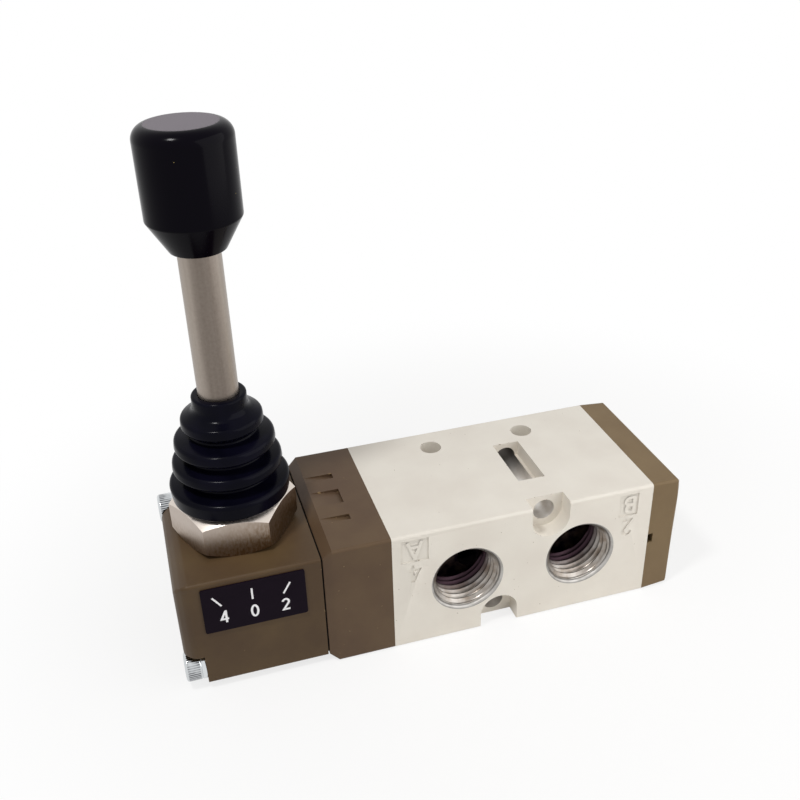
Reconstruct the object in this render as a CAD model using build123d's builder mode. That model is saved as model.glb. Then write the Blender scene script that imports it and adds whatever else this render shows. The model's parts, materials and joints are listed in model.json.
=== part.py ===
# A hand lever air valve: a five-port, three-position spool valve with quarter-inch ports.
# An upright lever in a cast housing at the left end pushes the spool to and fro.
# Units are millimetres. X runs along the valve body from the lever to the end cover,
# Y runs from the face with the two outlet ports to the face with the inlet, and Z is up.
# The origin is the centre of the body's underside.

from build123d import *
import os
from math import cos, radians, sin, sqrt, tan

# Valve body, a painted die casting
body_length = 52.5
body_depth = 32.5
body_height = 26.0
corner_round = 0.6

# Threaded ports: each radius is that of the thread's roots, G 1/4 and G 1/8
port_radius = 6.58
port_depth = 8.5
port_spacing = 23.2
port_countersink = 0.45
exhaust_radius = 4.86
exhaust_depth = 7.6
exhaust_spacing = 37.0

# Bolt holes through the body, two from above and two from the front
bolt_hole_radius = 2.15
upright_hole_spacing = 20.0
upright_hole_setback = 5.9
cross_hole_spacing = 10.0
cross_hole_setback = 3.2
notch_radius = 3.8
notch_depth = 3.6
pocket_width = 5.5
pocket_length = 13.4

# Spool bore with five ring chambers, and the passage from each port to its chamber
bore_radius = 6.0
chamber_radius = 6.9
chamber_width = 4.4
end_chamber_inset = 9.45
passage_height = 8.0

# Clearances
running_gap = 0.05
seat_gap = 0.02
play = 0.1
free_gap = 0.4

# Spool, with six seals that open and close the chambers as it slides
stem_radius = 3.3
land_width = 2.4
seal_width = 1.4
seal_thickness = 1.3
seal_overlap = 0.8
spool_rod_radius = 4.0
spool_end_inset = 1.6

# Yoke on the end of the spool rod, with a slot for the tip of the lever
yoke_length = 12.0
yoke_width = 10.0
yoke_drop = 6.5
yoke_headroom = 2.1
yoke_slot_depth = 5.5
yoke_stud_radius = 2.5
yoke_stud_length = 3.0
yoke_pin_radius = 0.75

# Adapter block between body and lever housing, with three sloping marks on top
adapter_length = 12.6
adapter_bevel = 1.7
mark_length = 5.6
mark_depth = 0.7
mark_width = 1.6
middle_mark_width = 4.5
mark_spacing = 7.0

# Detent: a bent strip spring whose nose drops into one of three grooves round the spool rod
strip_thickness = 0.5
strip_width = 4.6
strip_rise = 2.6
strip_slope = 60.0
nose_radius = 1.0
nose_bite = 0.75

# Lever housing and the thin gasket behind it
gasket_thickness = 0.3
gasket_inset = 0.4
housing_length = 25.9
housing_side_inset = 0.5
housing_bevel = 1.8
housing_end_wall = 3.9
cavity_drop = 8.0
corner_notch_length = 3.5
corner_notch_size = 6.5

# Socket head screws, M3
screw_radius = 1.5
head_radius = 2.75
head_height = 3.0
head_bevel = 0.3
socket_flats = 2.5
socket_depth = 1.5
screw_hole_gap = 0.15
counterbore_gap = 0.3
thread_run_out = 1.2
housing_screw_length = 30.0
housing_screw_side_inset = 3.25
housing_screw_top_inset = 2.7
housing_screw_wall = 4.0
adapter_screw_length = 16.0
adapter_screw_side_inset = 4.25
adapter_screw_top_inset = 5.4
cover_screw_length = 10.0
cover_screw_side_inset = 4.25
cover_screw_top_inset = 4.2
washer_height = 0.8
washer_split = 0.6

# Lever with its ball joint
lever_setback = 12.6
lever_arm = 11.5
lever_swing = 15.0
ball_radius = 7.0
cross_pin_radius = 1.25
cross_pin_inset = 0.8
rod_radius = 3.55
rod_length = 54.1
neck_radius = 2.5
neck_end = 6.5
arm_radius = 1.6
tip_radius = 2.5
tip_socket = 0.5

# Ball seat, a plastic ring under the ball
ball_seat_radius = 8.15
ball_seat_height = 1.9
ball_seat_opening = 5.6
ball_seat_ledge = 1.0

# Hexagonal bush that holds the ball down and carries the boot
hex_flats = 20.0
hex_height = 7.3
hex_turn = -5.0
hex_face_radius = 9.6
hex_bevel_angle = 30.0
spigot_radius = 9.0
spigot_length = 4.0
collar_height = 2.2
collar_groove = 1.1
collar_neck_radius = 7.3
collar_radius = 8.0
bush_lip_height = 4.1
bush_mouth_radius = 6.5

# Rubber boot: radius and height above the hexagon of each fold and of each valley
boot_folds = [(10.85, 2.9), (9.65, 7.3), (8.8, 11.6), (7.0, 15.8), (4.75, 19.8)]
boot_valleys = [(6.9, 4.9), (6.2, 9.3), (5.2, 13.6), (4.4, 18.3)]
boot_fold_round = 0.8
boot_valley_round = 0.5
boot_wall = 0.9
boot_foot_radius = 10.3

# Knob with a threaded brass insert, on the stud at the top of the rod
knob_height = 20.0
knob_radius = 7.75
knob_cone_height = 5.4
knob_base_radius = 4.6
knob_top_round = 2.2
knob_edge_round = 0.5
insert_radius = 3.9
insert_length = 12.0
insert_inset = 1.0
stud_radius = 2.5
stud_length = 11.0

# Position plate on the front of the housing
plate_width = 18.4
plate_height = 9.8
plate_thickness = 0.3
plate_drop = 6.1
plate_shift = 0.3
plate_corner = 0.4

# End cover, with a breather slot into the space that the spool's end moves in
cover_length = 5.9
cover_draft = 0.3
cover_edge = 0.4
breather_width = 2.1
breather_depth = 1.15

# Places that follow from the sizes above
body_left = -body_length / 2
body_right = body_length / 2
back = body_depth / 2
front = -back
bore_height = body_height / 2
adapter_left = body_left - adapter_length
adapter_shoulder = adapter_left + adapter_bevel
housing_right = adapter_left - gasket_thickness
housing_left = housing_right - housing_length
housing_depth = body_depth - 2 * housing_side_inset
housing_height = 2 * lever_arm
housing_top_inset = (body_height - housing_height) / 2
housing_front = -housing_depth / 2
cover_right = body_right + cover_length

lever_x = housing_right - lever_setback
pivot_z = bore_height + lever_arm
spigot_end = pivot_z - spigot_length
hex_top = pivot_z + hex_height
lever_axis = Axis((lever_x, 0, pivot_z), (0, 0, 1))
bore_axis = Axis((0, 0, bore_height), (1, 0, 0))
stroke = lever_arm * sin(radians(lever_swing))
ball_space = ball_radius + running_gap
rod_seat = sqrt(ball_radius**2 - rod_radius**2)
knob_base = pivot_z + rod_length

chamber_spacing = (body_right - end_chamber_inset) / 2
inner_seal = chamber_width / 2 + seal_overlap
outer_seal = 2 * chamber_spacing - chamber_width / 2 - seal_overlap
end_seal = 2 * chamber_spacing + chamber_width / 2 + stroke + free_gap
seal_places = [-end_seal, -outer_seal, -inner_seal, inner_seal, outer_seal, end_seal]
seal_floor = bore_radius - seal_thickness
spool_end = body_right - spool_end_inset
adapter_recess = end_seal + land_width / 2 + stroke + free_gap - body_right
cover_recess = spool_end + stroke + free_gap - body_right
yoke_right = lever_x + yoke_length / 2
yoke_pin_x = yoke_right - yoke_stud_length / 2
cross_pin_length = 2 * (spigot_radius - cross_pin_inset)

housing_screw_y = back - housing_screw_side_inset
housing_screw_z = lever_arm - housing_screw_top_inset
adapter_screw_y = back - adapter_screw_side_inset
adapter_screw_z = bore_height - adapter_screw_top_inset
cover_screw_y = back - cover_screw_side_inset
cover_screw_z = bore_height - cover_screw_top_inset
cavity_width = 2 * (housing_screw_y - housing_screw_wall)
cavity_floor = bore_height - cavity_drop
cavity_top = spigot_end - ball_seat_height - ball_seat_ledge
cavity_middle = (cavity_floor + cavity_top) / 2
yoke_bottom = bore_height - yoke_drop
yoke_top = cavity_top - yoke_headroom

nose_x = (adapter_shoulder + body_left) / 2
nose_top = bore_height - spool_rod_radius + nose_bite
strip_foot_top = nose_top - strip_rise
strip_pocket_floor = strip_foot_top - strip_thickness - running_gap

housing_screw_places = [
    (-housing_screw_y, bore_height - housing_screw_z),
    (housing_screw_y, bore_height + housing_screw_z),
]
adapter_screw_places = [
    (-adapter_screw_y, bore_height + adapter_screw_z),
    (adapter_screw_y, bore_height - adapter_screw_z),
]
cover_screw_places = [
    (-cover_screw_y, bore_height - cover_screw_z),
    (cover_screw_y, bore_height + cover_screw_z),
]
counterbore_depth = head_height + counterbore_gap
notch_floor = housing_left + corner_notch_length
housing_head_seat = notch_floor - washer_height
adapter_head_seat = adapter_left + counterbore_depth
cover_head_seat = cover_right - counterbore_depth
thread_radius = screw_radius + seat_gap

os.makedirs("parts", exist_ok=True)


def finish(piece, name):
    """Labels a finished piece and writes it under that name."""
    piece.part.label = name
    export_step(piece.part, f"parts/{name}.step")


def across(x, y=0, z=0):
    """A plane that faces +X, with its own x along Y and its own y along Z."""
    return Plane(origin=(x, y, z), x_dir=(0, 1, 0), z_dir=(1, 0, 0))


def facing_front(x, y, z):
    """A plane that faces -Y, with its own x along X and its own y along Z."""
    return Plane(origin=(x, y, z), x_dir=(1, 0, 0), z_dir=(0, -1, 0))


def outline(x, depth, height):
    """Draws a round-cornered rectangle across the valve at x, round the axis of the bore."""
    with BuildSketch(across(x)) as section:
        with Locations((0, bore_height)):
            RectangleRounded(depth, height, corner_round)
    return section.sketch


def bevelled_block(end, shoulder, far, depth, height, side_bevel, top_bevel):
    """Adds a block from far to shoulder, which tapers by the bevels between shoulder and end."""
    full = outline(shoulder, depth, height)
    loft([outline(end, depth - 2 * side_bevel, height - 2 * top_bevel), full])
    extrude(full, amount=far - shoulder)


def round_cut(start, stop, radius, places=((0, bore_height),)):
    """Cuts round holes along X from start to stop, at places given as Y and Z."""
    with BuildSketch(across(start)) as holes:
        with Locations(*places):
            Circle(radius)
    extrude(holes.sketch, amount=stop - start, mode=Mode.SUBTRACT)


def socket_screw(seat, y, z, direction, length):
    """Adds a screw whose head bears on seat and whose shank runs along X in the given direction."""
    side = Plane(origin=(seat, y, z), x_dir=(direction, 0, 0), z_dir=(0, -1, 0))
    with BuildSketch(side) as half:
        with BuildLine():
            Polyline(
                (length, 0),
                (length, screw_radius),
                (0, screw_radius),
                (0, head_radius),
                (head_bevel - head_height, head_radius),
                (-head_height, head_radius - head_bevel),
                (-head_height, 0),
                close=True,
            )
        make_face()
    revolve(half.sketch, axis=Axis((seat, y, z), (1, 0, 0)))
    with BuildSketch(across(seat - direction * head_height, y, z)) as socket:
        RegularPolygon(socket_flats / 2, 6, major_radius=False)
    extrude(socket.sketch, amount=direction * socket_depth, mode=Mode.SUBTRACT)


# The body, with each port's side, thread and chamber, and each cross hole's nearer face
ports = [
    (-port_spacing / 2, -1, port_radius, port_depth, -chamber_spacing),
    (port_spacing / 2, -1, port_radius, port_depth, chamber_spacing),
    (0, 1, port_radius, port_depth, 0),
    (-exhaust_spacing / 2, 1, exhaust_radius, exhaust_depth, -2 * chamber_spacing),
    (exhaust_spacing / 2, 1, exhaust_radius, exhaust_depth, 2 * chamber_spacing),
]
cross_holes = [
    (cross_hole_spacing / 2, body_height - cross_hole_setback, 1),
    (-cross_hole_spacing / 2, cross_hole_setback, -1),
]
with BuildPart() as valve_body:
    extrude(outline(body_left, body_depth, body_height), amount=body_length)
    round_cut(body_left, body_right, bore_radius)
    for step in (-2, -1, 0, 1, 2):
        chamber_left = step * chamber_spacing - chamber_width / 2
        round_cut(chamber_left, chamber_left + chamber_width, chamber_radius)
    for x, side, radius, depth, chamber_x in ports:
        mouth = Plane(origin=(x, side * back, bore_height), x_dir=(1, 0, 0), z_dir=(0, side, 0))
        with BuildSketch(mouth):
            Circle(radius)
        extrude(amount=-depth, mode=Mode.SUBTRACT)
        with BuildSketch(mouth):
            Circle(radius + port_countersink)
        with BuildSketch(mouth.offset(-port_countersink)):
            Circle(radius)
        loft(mode=Mode.SUBTRACT)
        with BuildSketch(mouth.offset(-depth)):
            with Locations((chamber_x - x, 0)):
                SlotOverall(passage_height, chamber_width, rotation=90)
        extrude(amount=stem_radius + depth - back, mode=Mode.SUBTRACT)
    with BuildSketch(Plane.XY):
        with Locations((0, back - upright_hole_setback)):
            with GridLocations(upright_hole_spacing, 0, 2, 1):
                Circle(bolt_hole_radius)
    extrude(amount=body_height, mode=Mode.SUBTRACT)
    for x, z, upwards in cross_holes:
        with BuildSketch(facing_front(x, front, z)):
            Circle(bolt_hole_radius)
        extrude(amount=-body_depth, mode=Mode.SUBTRACT)
        with BuildSketch(facing_front(x, front, z)):
            Circle(notch_radius)
            with Locations((0, upwards * cross_hole_setback / 2)):
                Rectangle(2 * notch_radius, cross_hole_setback)
        extrude(amount=-notch_depth, mode=Mode.SUBTRACT)
        with BuildSketch(Plane.XY.offset(z)):
            with Locations((x, 0)):
                Rectangle(pocket_width, pocket_length)
        extrude(amount=upwards * cross_hole_setback, mode=Mode.SUBTRACT)
    adapter_screw_end = adapter_head_seat + adapter_screw_length + thread_run_out
    round_cut(body_left, adapter_screw_end, thread_radius, adapter_screw_places)
    cover_screw_end = cover_head_seat - cover_screw_length - thread_run_out
    round_cut(body_right, cover_screw_end, thread_radius, cover_screw_places)
finish(valve_body, "valve_body")

# The adapter is bevelled down to the outline of the housing, and its marks slope into the top
marks = [(-mark_spacing, mark_width), (0, middle_mark_width), (mark_spacing, mark_width)]
with BuildPart() as adapter_block:
    bevelled_block(
        adapter_left, adapter_shoulder, body_left,
        body_depth, body_height, housing_side_inset, housing_top_inset,
    )
    for y, width in marks:
        with BuildSketch(facing_front(adapter_shoulder, y + width / 2, body_height)):
            with BuildLine():
                Polyline((0, 0), (mark_length, 0), (mark_length, -mark_depth), close=True)
            make_face()
        extrude(amount=width, mode=Mode.SUBTRACT)
    round_cut(adapter_left, body_left, spool_rod_radius + running_gap)
    round_cut(body_left, body_left - adapter_recess, bore_radius)
    with BuildSketch(across(adapter_shoulder)):
        with Locations((0, (strip_pocket_floor + bore_height) / 2)):
            Rectangle(strip_width + 2 * play, bore_height - strip_pocket_floor)
    extrude(amount=body_left - adapter_shoulder, mode=Mode.SUBTRACT)
    round_cut(adapter_left, body_left, screw_radius + screw_hole_gap, adapter_screw_places)
    round_cut(adapter_left, adapter_head_seat, head_radius + counterbore_gap, adapter_screw_places)
    housing_screw_end = housing_head_seat + housing_screw_length + thread_run_out
    round_cut(adapter_left, housing_screw_end, thread_radius, housing_screw_places)
finish(adapter_block, "adapter_block")

with BuildPart() as adapter_screws:
    for y, z in adapter_screw_places:
        socket_screw(adapter_head_seat, y, z, 1, adapter_screw_length)
finish(adapter_screws, "adapter_screws")

# The strip spring lies in the pocket under the spool rod, with both feet on the pocket's floor
bend_radius = nose_radius - strip_thickness / 2
apex_rise = strip_rise + bend_radius * (1 / cos(radians(strip_slope)) - 1)
flank = apex_rise / tan(radians(strip_slope))
with BuildPart() as detent_spring:
    foot_line = strip_foot_top - strip_thickness / 2
    with BuildSketch(facing_front(0, strip_width / 2, foot_line)):
        with BuildLine():
            FilletPolyline(
                (adapter_shoulder + running_gap, 0),
                (nose_x - flank, 0),
                (nose_x, apex_rise),
                (nose_x + flank, 0),
                (body_left - running_gap, 0),
                radius=bend_radius,
            )
        trace(line_width=strip_thickness)
    extrude(amount=strip_width)
finish(detent_spring, "detent_spring")

# The spool: a thin stem with six lands, the rod through the adapter and the stud for the yoke
with BuildPart() as spool:
    with BuildSketch(across(-spool_end, z=bore_height)):
        Circle(stem_radius)
    extrude(amount=2 * spool_end)
    for x in seal_places:
        with BuildSketch(across(x - land_width / 2, z=bore_height)):
            Circle(bore_radius - running_gap)
        extrude(amount=land_width)
        with BuildSketch(across(x - seal_width / 2 - seat_gap, z=bore_height)):
            Circle(bore_radius)
            Circle(seal_floor - seat_gap, mode=Mode.SUBTRACT)
        extrude(amount=seal_width + 2 * seat_gap, mode=Mode.SUBTRACT)
    with BuildSketch(across(yoke_right, z=bore_height)):
        Circle(spool_rod_radius)
    extrude(amount=-spool_end - yoke_right)
    with BuildSketch(facing_front(nose_x, 0, nose_top - nose_radius)):
        with GridLocations(stroke, 0, 3, 1):
            Circle(nose_radius + play)
    revolve(axis=bore_axis, mode=Mode.SUBTRACT)
    with BuildSketch(across(yoke_right, z=bore_height)):
        Circle(yoke_stud_radius)
    extrude(amount=-yoke_stud_length)
    with BuildSketch(facing_front(yoke_pin_x, 0, bore_height)):
        Circle(yoke_pin_radius + seat_gap)
    extrude(amount=yoke_stud_radius, both=True, mode=Mode.SUBTRACT)
finish(spool, "spool")

with BuildPart() as spool_seals:
    for x in seal_places:
        with BuildSketch(across(x - seal_width / 2, z=bore_height)):
            Circle(bore_radius - seat_gap)
            Circle(seal_floor, mode=Mode.SUBTRACT)
        extrude(amount=seal_width)
finish(spool_seals, "spool_seals")

with BuildPart() as drive_yoke:
    with BuildSketch(Plane.XY.offset(yoke_bottom)):
        with Locations((lever_x, 0)):
            RectangleRounded(yoke_length, yoke_width, corner_round)
    extrude(amount=yoke_top - yoke_bottom)
    with BuildSketch(Plane.XY.offset(yoke_top)):
        with Locations((lever_x, 0)):
            Rectangle(2 * (tip_radius + play), yoke_width)
    extrude(amount=-yoke_slot_depth, mode=Mode.SUBTRACT)
    round_cut(yoke_right, yoke_right - yoke_stud_length - seat_gap, yoke_stud_radius + seat_gap)
    with BuildSketch(facing_front(yoke_pin_x, 0, bore_height)):
        Circle(yoke_pin_radius + seat_gap)
    extrude(amount=yoke_width / 2, both=True, mode=Mode.SUBTRACT)
finish(drive_yoke, "drive_yoke")

with BuildPart() as yoke_pin:
    with BuildSketch(facing_front(yoke_pin_x, 0, bore_height)):
        Circle(yoke_pin_radius)
    extrude(amount=yoke_width / 2 - play, both=True)
finish(yoke_pin, "yoke_pin")

with BuildPart() as housing_gasket:
    with BuildSketch(across(housing_right)):
        with Locations((0, bore_height)):
            gasket_depth = housing_depth - 2 * gasket_inset
            RectangleRounded(gasket_depth, housing_height - 2 * gasket_inset, corner_round)
        with Locations((0, cavity_middle)):
            Rectangle(cavity_width, cavity_top - cavity_floor, mode=Mode.SUBTRACT)
        with Locations(*housing_screw_places):
            Circle(screw_radius + screw_hole_gap, mode=Mode.SUBTRACT)
    extrude(amount=gasket_thickness)
finish(housing_gasket, "housing_gasket")

# The housing is open towards the adapter, stepped from above for the bush and the ball seat,
# and notched at two corners for its screws
housing_steps = [
    (spigot_radius + seat_gap, spigot_length + seat_gap),
    (ball_seat_radius + seat_gap, spigot_length + ball_seat_height + seat_gap),
    (ball_seat_opening, pivot_z - cavity_top),
]
with BuildPart() as lever_housing:
    bevelled_block(
        housing_left, housing_left + housing_bevel, housing_right,
        housing_depth, housing_height, housing_bevel, housing_bevel,
    )
    with BuildSketch(across(housing_right)):
        with Locations((0, cavity_middle)):
            Rectangle(cavity_width, cavity_top - cavity_floor)
    extrude(amount=housing_end_wall - housing_length, mode=Mode.SUBTRACT)
    for radius, depth in housing_steps:
        with BuildSketch(Plane.XY.offset(pivot_z)):
            with Locations((lever_x, 0)):
                Circle(radius)
        extrude(amount=-depth, mode=Mode.SUBTRACT)
    for sign in (-1, 1):
        corner = (sign * housing_depth / 2, bore_height + sign * housing_height / 2)
        with BuildSketch(across(housing_left)):
            with Locations(corner):
                Rectangle(2 * corner_notch_size, 2 * corner_notch_size)
        extrude(amount=corner_notch_length, mode=Mode.SUBTRACT)
    round_cut(housing_left, housing_right, screw_radius + screw_hole_gap, housing_screw_places)
finish(lever_housing, "lever_housing")

with BuildPart() as housing_screws:
    for y, z in housing_screw_places:
        socket_screw(housing_head_seat, y, z, 1, housing_screw_length)
finish(housing_screws, "housing_screws")

with BuildPart() as spring_washers:
    with BuildSketch(across(housing_head_seat)):
        with Locations(*housing_screw_places):
            Circle(head_radius)
            Circle(thread_radius, mode=Mode.SUBTRACT)
            with Locations((0, head_radius / 2)):
                Rectangle(washer_split, head_radius, mode=Mode.SUBTRACT)
    extrude(amount=washer_height)
finish(spring_washers, "spring_washers")

with BuildPart() as position_plate:
    with BuildSketch(facing_front(lever_x + plate_shift, housing_front, pivot_z - plate_drop)):
        RectangleRounded(plate_width, plate_height, plate_corner)
    extrude(amount=plate_thickness)
finish(position_plate, "position_plate")

with BuildPart() as ball_seat:
    with BuildSketch(Plane.XY.offset(pivot_z - spigot_length - seat_gap)):
        with Locations((lever_x, 0)):
            Circle(ball_seat_radius)
    extrude(amount=-ball_seat_height)
    with Locations((lever_x, 0, pivot_z)):
        Sphere(ball_space, mode=Mode.SUBTRACT)
finish(ball_seat, "ball_seat")

# The bush: a bevelled hexagon, with a spigot below, a collar above and a round seat inside
hex_corner_radius = hex_flats / sqrt(3)
hex_bevel_drop = (hex_corner_radius - hex_face_radius) * tan(radians(hex_bevel_angle))
lip_radius = sqrt(ball_space**2 - bush_lip_height**2)
collar_top = hex_top + collar_height
with BuildPart() as boot_bush:
    with BuildSketch(Plane.XY.offset(pivot_z)):
        with Locations((lever_x, 0)):
            RegularPolygon(hex_flats / 2, 6, major_radius=False, rotation=hex_turn)
    extrude(amount=hex_height)
    with BuildSketch(Plane.XZ):
        with BuildLine():
            Polyline(
                (lever_x, pivot_z),
                (lever_x + hex_flats / 2, pivot_z),
                (lever_x + hex_corner_radius, pivot_z + hex_bevel_drop),
                (lever_x + hex_corner_radius, hex_top - hex_bevel_drop),
                (lever_x + hex_face_radius, hex_top),
                (lever_x, hex_top),
                close=True,
            )
        make_face()
    revolve(axis=lever_axis, mode=Mode.INTERSECT)
    with BuildSketch(Plane.XZ):
        with BuildLine():
            Polyline(
                (lever_x, spigot_end),
                (lever_x + spigot_radius, spigot_end),
                (lever_x + spigot_radius, pivot_z),
                (lever_x + collar_neck_radius, pivot_z),
                (lever_x + collar_neck_radius, hex_top + collar_groove),
                (lever_x + collar_radius, hex_top + collar_groove),
                (lever_x + collar_radius, collar_top),
                (lever_x, collar_top),
                close=True,
            )
        make_face()
    revolve(axis=lever_axis)
    with BuildSketch(Plane.XZ):
        with BuildLine():
            Polyline(
                (lever_x + lip_radius, pivot_z + bush_lip_height),
                (lever_x + bush_mouth_radius, collar_top),
                (lever_x, collar_top),
                (lever_x, spigot_end),
                (lever_x + ball_space, spigot_end),
                (lever_x + ball_space, pivot_z),
            )
            RadiusArc(
                (lever_x + ball_space, pivot_z),
                (lever_x + lip_radius, pivot_z + bush_lip_height),
                -ball_space,
            )
        make_face()
    revolve(axis=lever_axis, mode=Mode.SUBTRACT)
    with BuildSketch(facing_front(lever_x, 0, pivot_z)):
        Circle(cross_pin_radius + running_gap)
        with Locations((0, -spigot_length / 2)):
            Rectangle(2 * (cross_pin_radius + running_gap), spigot_length)
    extrude(amount=cross_pin_length / 2 + play, both=True, mode=Mode.SUBTRACT)
finish(boot_bush, "boot_bush")

# The boot: a bellows with round folds and valleys, hooked under the bush's collar at its foot
# and gripping the rod at its top bead
with BuildPart() as boot:
    a = boot_fold_round
    b = boot_valley_round
    base_radius, base_height = boot_folds[0]
    bead_radius, bead_height = boot_folds[-1]
    grip = rod_radius + running_gap
    hook = collar_neck_radius + running_gap
    hook_top = collar_groove - seat_gap
    collar_room = collar_radius + running_gap
    inner_turns = []
    for fold, valley in zip(boot_folds, boot_valleys):
        inner_turns += [(fold[0] - boot_wall, fold[1]), (valley[0] - boot_wall, valley[1])]
    inner_turns[-1] = (grip, boot_valleys[-1][1] - boot_wall)
    with BuildSketch(facing_front(lever_x, 0, hex_top)):
        with BuildLine():
            Polyline((hook, 0), (boot_foot_radius, 0), (base_radius, base_height))
            RadiusArc((base_radius, base_height), (base_radius - a, base_height + a), -a)
            for fold, valley, upper in zip(boot_folds, boot_valleys, boot_folds[1:]):
                valley_start = (valley[0] + b, valley[1] - b)
                valley_end = (valley[0] + b, valley[1] + b)
                Line((fold[0] - a, fold[1] + a), valley_start)
                ThreePointArc(valley_start, valley, valley_end)
                Line(valley_end, (upper[0] - a, upper[1] - a))
                ThreePointArc((upper[0] - a, upper[1] - a), upper, (upper[0] - a, upper[1] + a))
            Polyline(
                (bead_radius - a, bead_height + a),
                (grip, bead_height + a),
                *reversed(inner_turns),
                (base_radius - boot_wall, collar_height + seat_gap),
                (collar_room, collar_height + seat_gap),
                (collar_room, hook_top),
                (hook, hook_top),
                (hook, 0),
            )
        make_face()
    revolve(axis=lever_axis)
finish(boot, "boot")

# The lever: one turned rod with a stud above, a neck through the ball and a thin arm below
with BuildPart() as lever_rod:
    stud_base = knob_base + insert_inset
    with BuildSketch(Plane.XZ):
        with BuildLine():
            Polyline(
                (lever_x, bore_height - tip_socket),
                (lever_x + arm_radius, bore_height - tip_socket),
                (lever_x + arm_radius, pivot_z - neck_end),
                (lever_x + neck_radius, pivot_z - neck_end),
                (lever_x + neck_radius, pivot_z + rod_seat),
                (lever_x + rod_radius, pivot_z + rod_seat),
                (lever_x + rod_radius, stud_base),
                (lever_x + stud_radius, stud_base),
                (lever_x + stud_radius, stud_base + stud_length),
                (lever_x, stud_base + stud_length),
                close=True,
            )
        make_face()
    revolve(axis=lever_axis)
    with BuildSketch(facing_front(lever_x, 0, pivot_z)):
        Circle(cross_pin_radius + seat_gap)
    extrude(amount=neck_radius, both=True, mode=Mode.SUBTRACT)
finish(lever_rod, "lever_rod")

with BuildPart() as pivot_ball:
    with Locations((lever_x, 0, pivot_z)):
        Sphere(ball_radius)
    with BuildSketch(Plane.XY.offset(pivot_z + rod_seat)):
        with Locations((lever_x, 0)):
            Circle(ball_radius)
    extrude(amount=ball_radius, mode=Mode.SUBTRACT)
    with BuildSketch(Plane.XY.offset(pivot_z)):
        with Locations((lever_x, 0)):
            Circle(neck_radius + seat_gap)
    extrude(amount=ball_radius, both=True, mode=Mode.SUBTRACT)
    with BuildSketch(facing_front(lever_x, 0, pivot_z)):
        Circle(cross_pin_radius + seat_gap)
    extrude(amount=ball_radius, both=True, mode=Mode.SUBTRACT)
finish(pivot_ball, "pivot_ball")

with BuildPart() as cross_pin:
    with BuildSketch(facing_front(lever_x, 0, pivot_z)):
        Circle(cross_pin_radius)
    extrude(amount=cross_pin_length / 2, both=True)
finish(cross_pin, "cross_pin")

with BuildPart() as tip_ball:
    with Locations((lever_x, 0, bore_height)):
        Sphere(tip_radius)
    with BuildSketch(Plane.XY.offset(bore_height - tip_socket - seat_gap)):
        with Locations((lever_x, 0)):
            Circle(arm_radius + seat_gap)
    extrude(amount=2 * tip_radius, mode=Mode.SUBTRACT)
finish(tip_ball, "tip_ball")

with BuildPart() as knob:
    cone_top = knob_base + knob_cone_height
    knob_top = knob_base + knob_height
    with BuildSketch(Plane.XZ):
        with BuildLine():
            Polyline(
                (lever_x, knob_base),
                (lever_x + knob_base_radius, knob_base),
                (lever_x + knob_radius, cone_top),
                (lever_x + knob_radius, knob_top),
                (lever_x, knob_top),
                close=True,
            )
        make_face()
    revolve(axis=lever_axis)
    rims = knob.edges().filter_by(GeomType.CIRCLE).sort_by(Axis.Z)
    fillet(rims[-1], knob_top_round)
    rims = knob.edges().filter_by(GeomType.CIRCLE).sort_by(Axis.Z)
    fillet(rims[:2], knob_edge_round)
    with BuildSketch(Plane.XY.offset(knob_base)):
        with Locations((lever_x, 0)):
            Circle(insert_radius + seat_gap)
    extrude(amount=insert_inset + insert_length, mode=Mode.SUBTRACT)
finish(knob, "knob")

with BuildPart() as knob_insert:
    with BuildSketch(Plane.XY.offset(knob_base + insert_inset)):
        with Locations((lever_x, 0)):
            Circle(insert_radius)
            Circle(stud_radius + seat_gap, mode=Mode.SUBTRACT)
    extrude(amount=insert_length)
finish(knob_insert, "knob_insert")

# The end cover, drafted towards its outer face, with counterbored screw holes
with BuildPart() as end_cover:
    outer_face = outline(cover_right, body_depth - 2 * cover_draft, body_height - 2 * cover_draft)
    loft([outline(body_right, body_depth, body_height), outer_face])
    chamfer(end_cover.faces().sort_by(Axis.X)[-1].edges(), cover_edge)
    round_cut(body_right, body_right + cover_recess, bore_radius + free_gap)
    with BuildSketch(facing_front(body_right + breather_depth / 2, front, bore_height)):
        Rectangle(breather_depth, breather_width)
    extrude(amount=front + bore_radius, mode=Mode.SUBTRACT)
    round_cut(body_right, cover_right, screw_radius + screw_hole_gap, cover_screw_places)
    round_cut(cover_right, cover_head_seat, head_radius + counterbore_gap, cover_screw_places)
finish(end_cover, "end_cover")

with BuildPart() as cover_screws:
    for y, z in cover_screw_places:
        socket_screw(cover_head_seat, y, z, -1, cover_screw_length)
finish(cover_screws, "cover_screws")
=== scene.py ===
"""A hand lever air valve, dressed round its CAD frame for a picture.

The sections follow the valve as it is put together, from the body to the end cover, and the studio comes last.
Lengths are in metres, and mm turns real sizes in millimetres into them. Z is up, and -Y is the face with
the two outlet ports.
"""
import bmesh
import bpy
import json
from math import cos, pi, radians, sin, tan, tau
from mathutils import Matrix, Vector


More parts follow.
